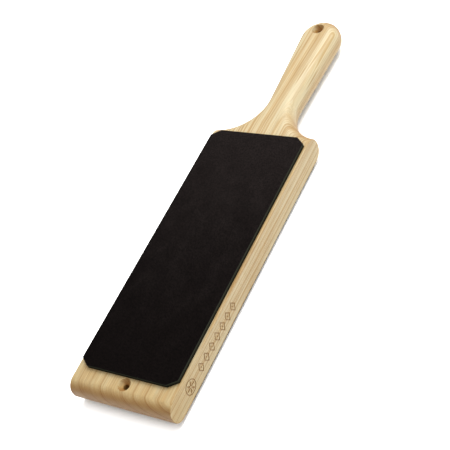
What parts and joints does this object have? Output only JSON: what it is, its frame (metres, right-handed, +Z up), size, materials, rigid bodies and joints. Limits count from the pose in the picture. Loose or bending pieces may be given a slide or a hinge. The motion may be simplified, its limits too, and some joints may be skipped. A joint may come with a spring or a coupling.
{
  "type": "leather strop",
  "caption": "Double-sided paddle strop: flat one-piece ash paddle with a necked handle, a leather honing sheet glued to each face, and a countersunk screw hole at each end.",
  "frame": {"origin": "centre of the lower leather's outer face, which the strop rests on", "axes": "+Z up through the thickness, +Y from the blade end to the handle, +X across the blade"},
  "size_m": [0.08, 0.3321, 0.0239],
  "materials": {
    "ash_wood": "sanded bare ash, satin",
    "black_leather": "matte black, fine grain",
    "contact_cement": "dried amber-brown contact cement"
  },
  "bodies": {
    "root": {"paddle": "ash_wood", "upper_leather": "black_leather", "upper_glue_film": "contact_cement", "lower_glue_film": "contact_cement", "lower_leather": "black_leather"}
  },
  "joints": []
}
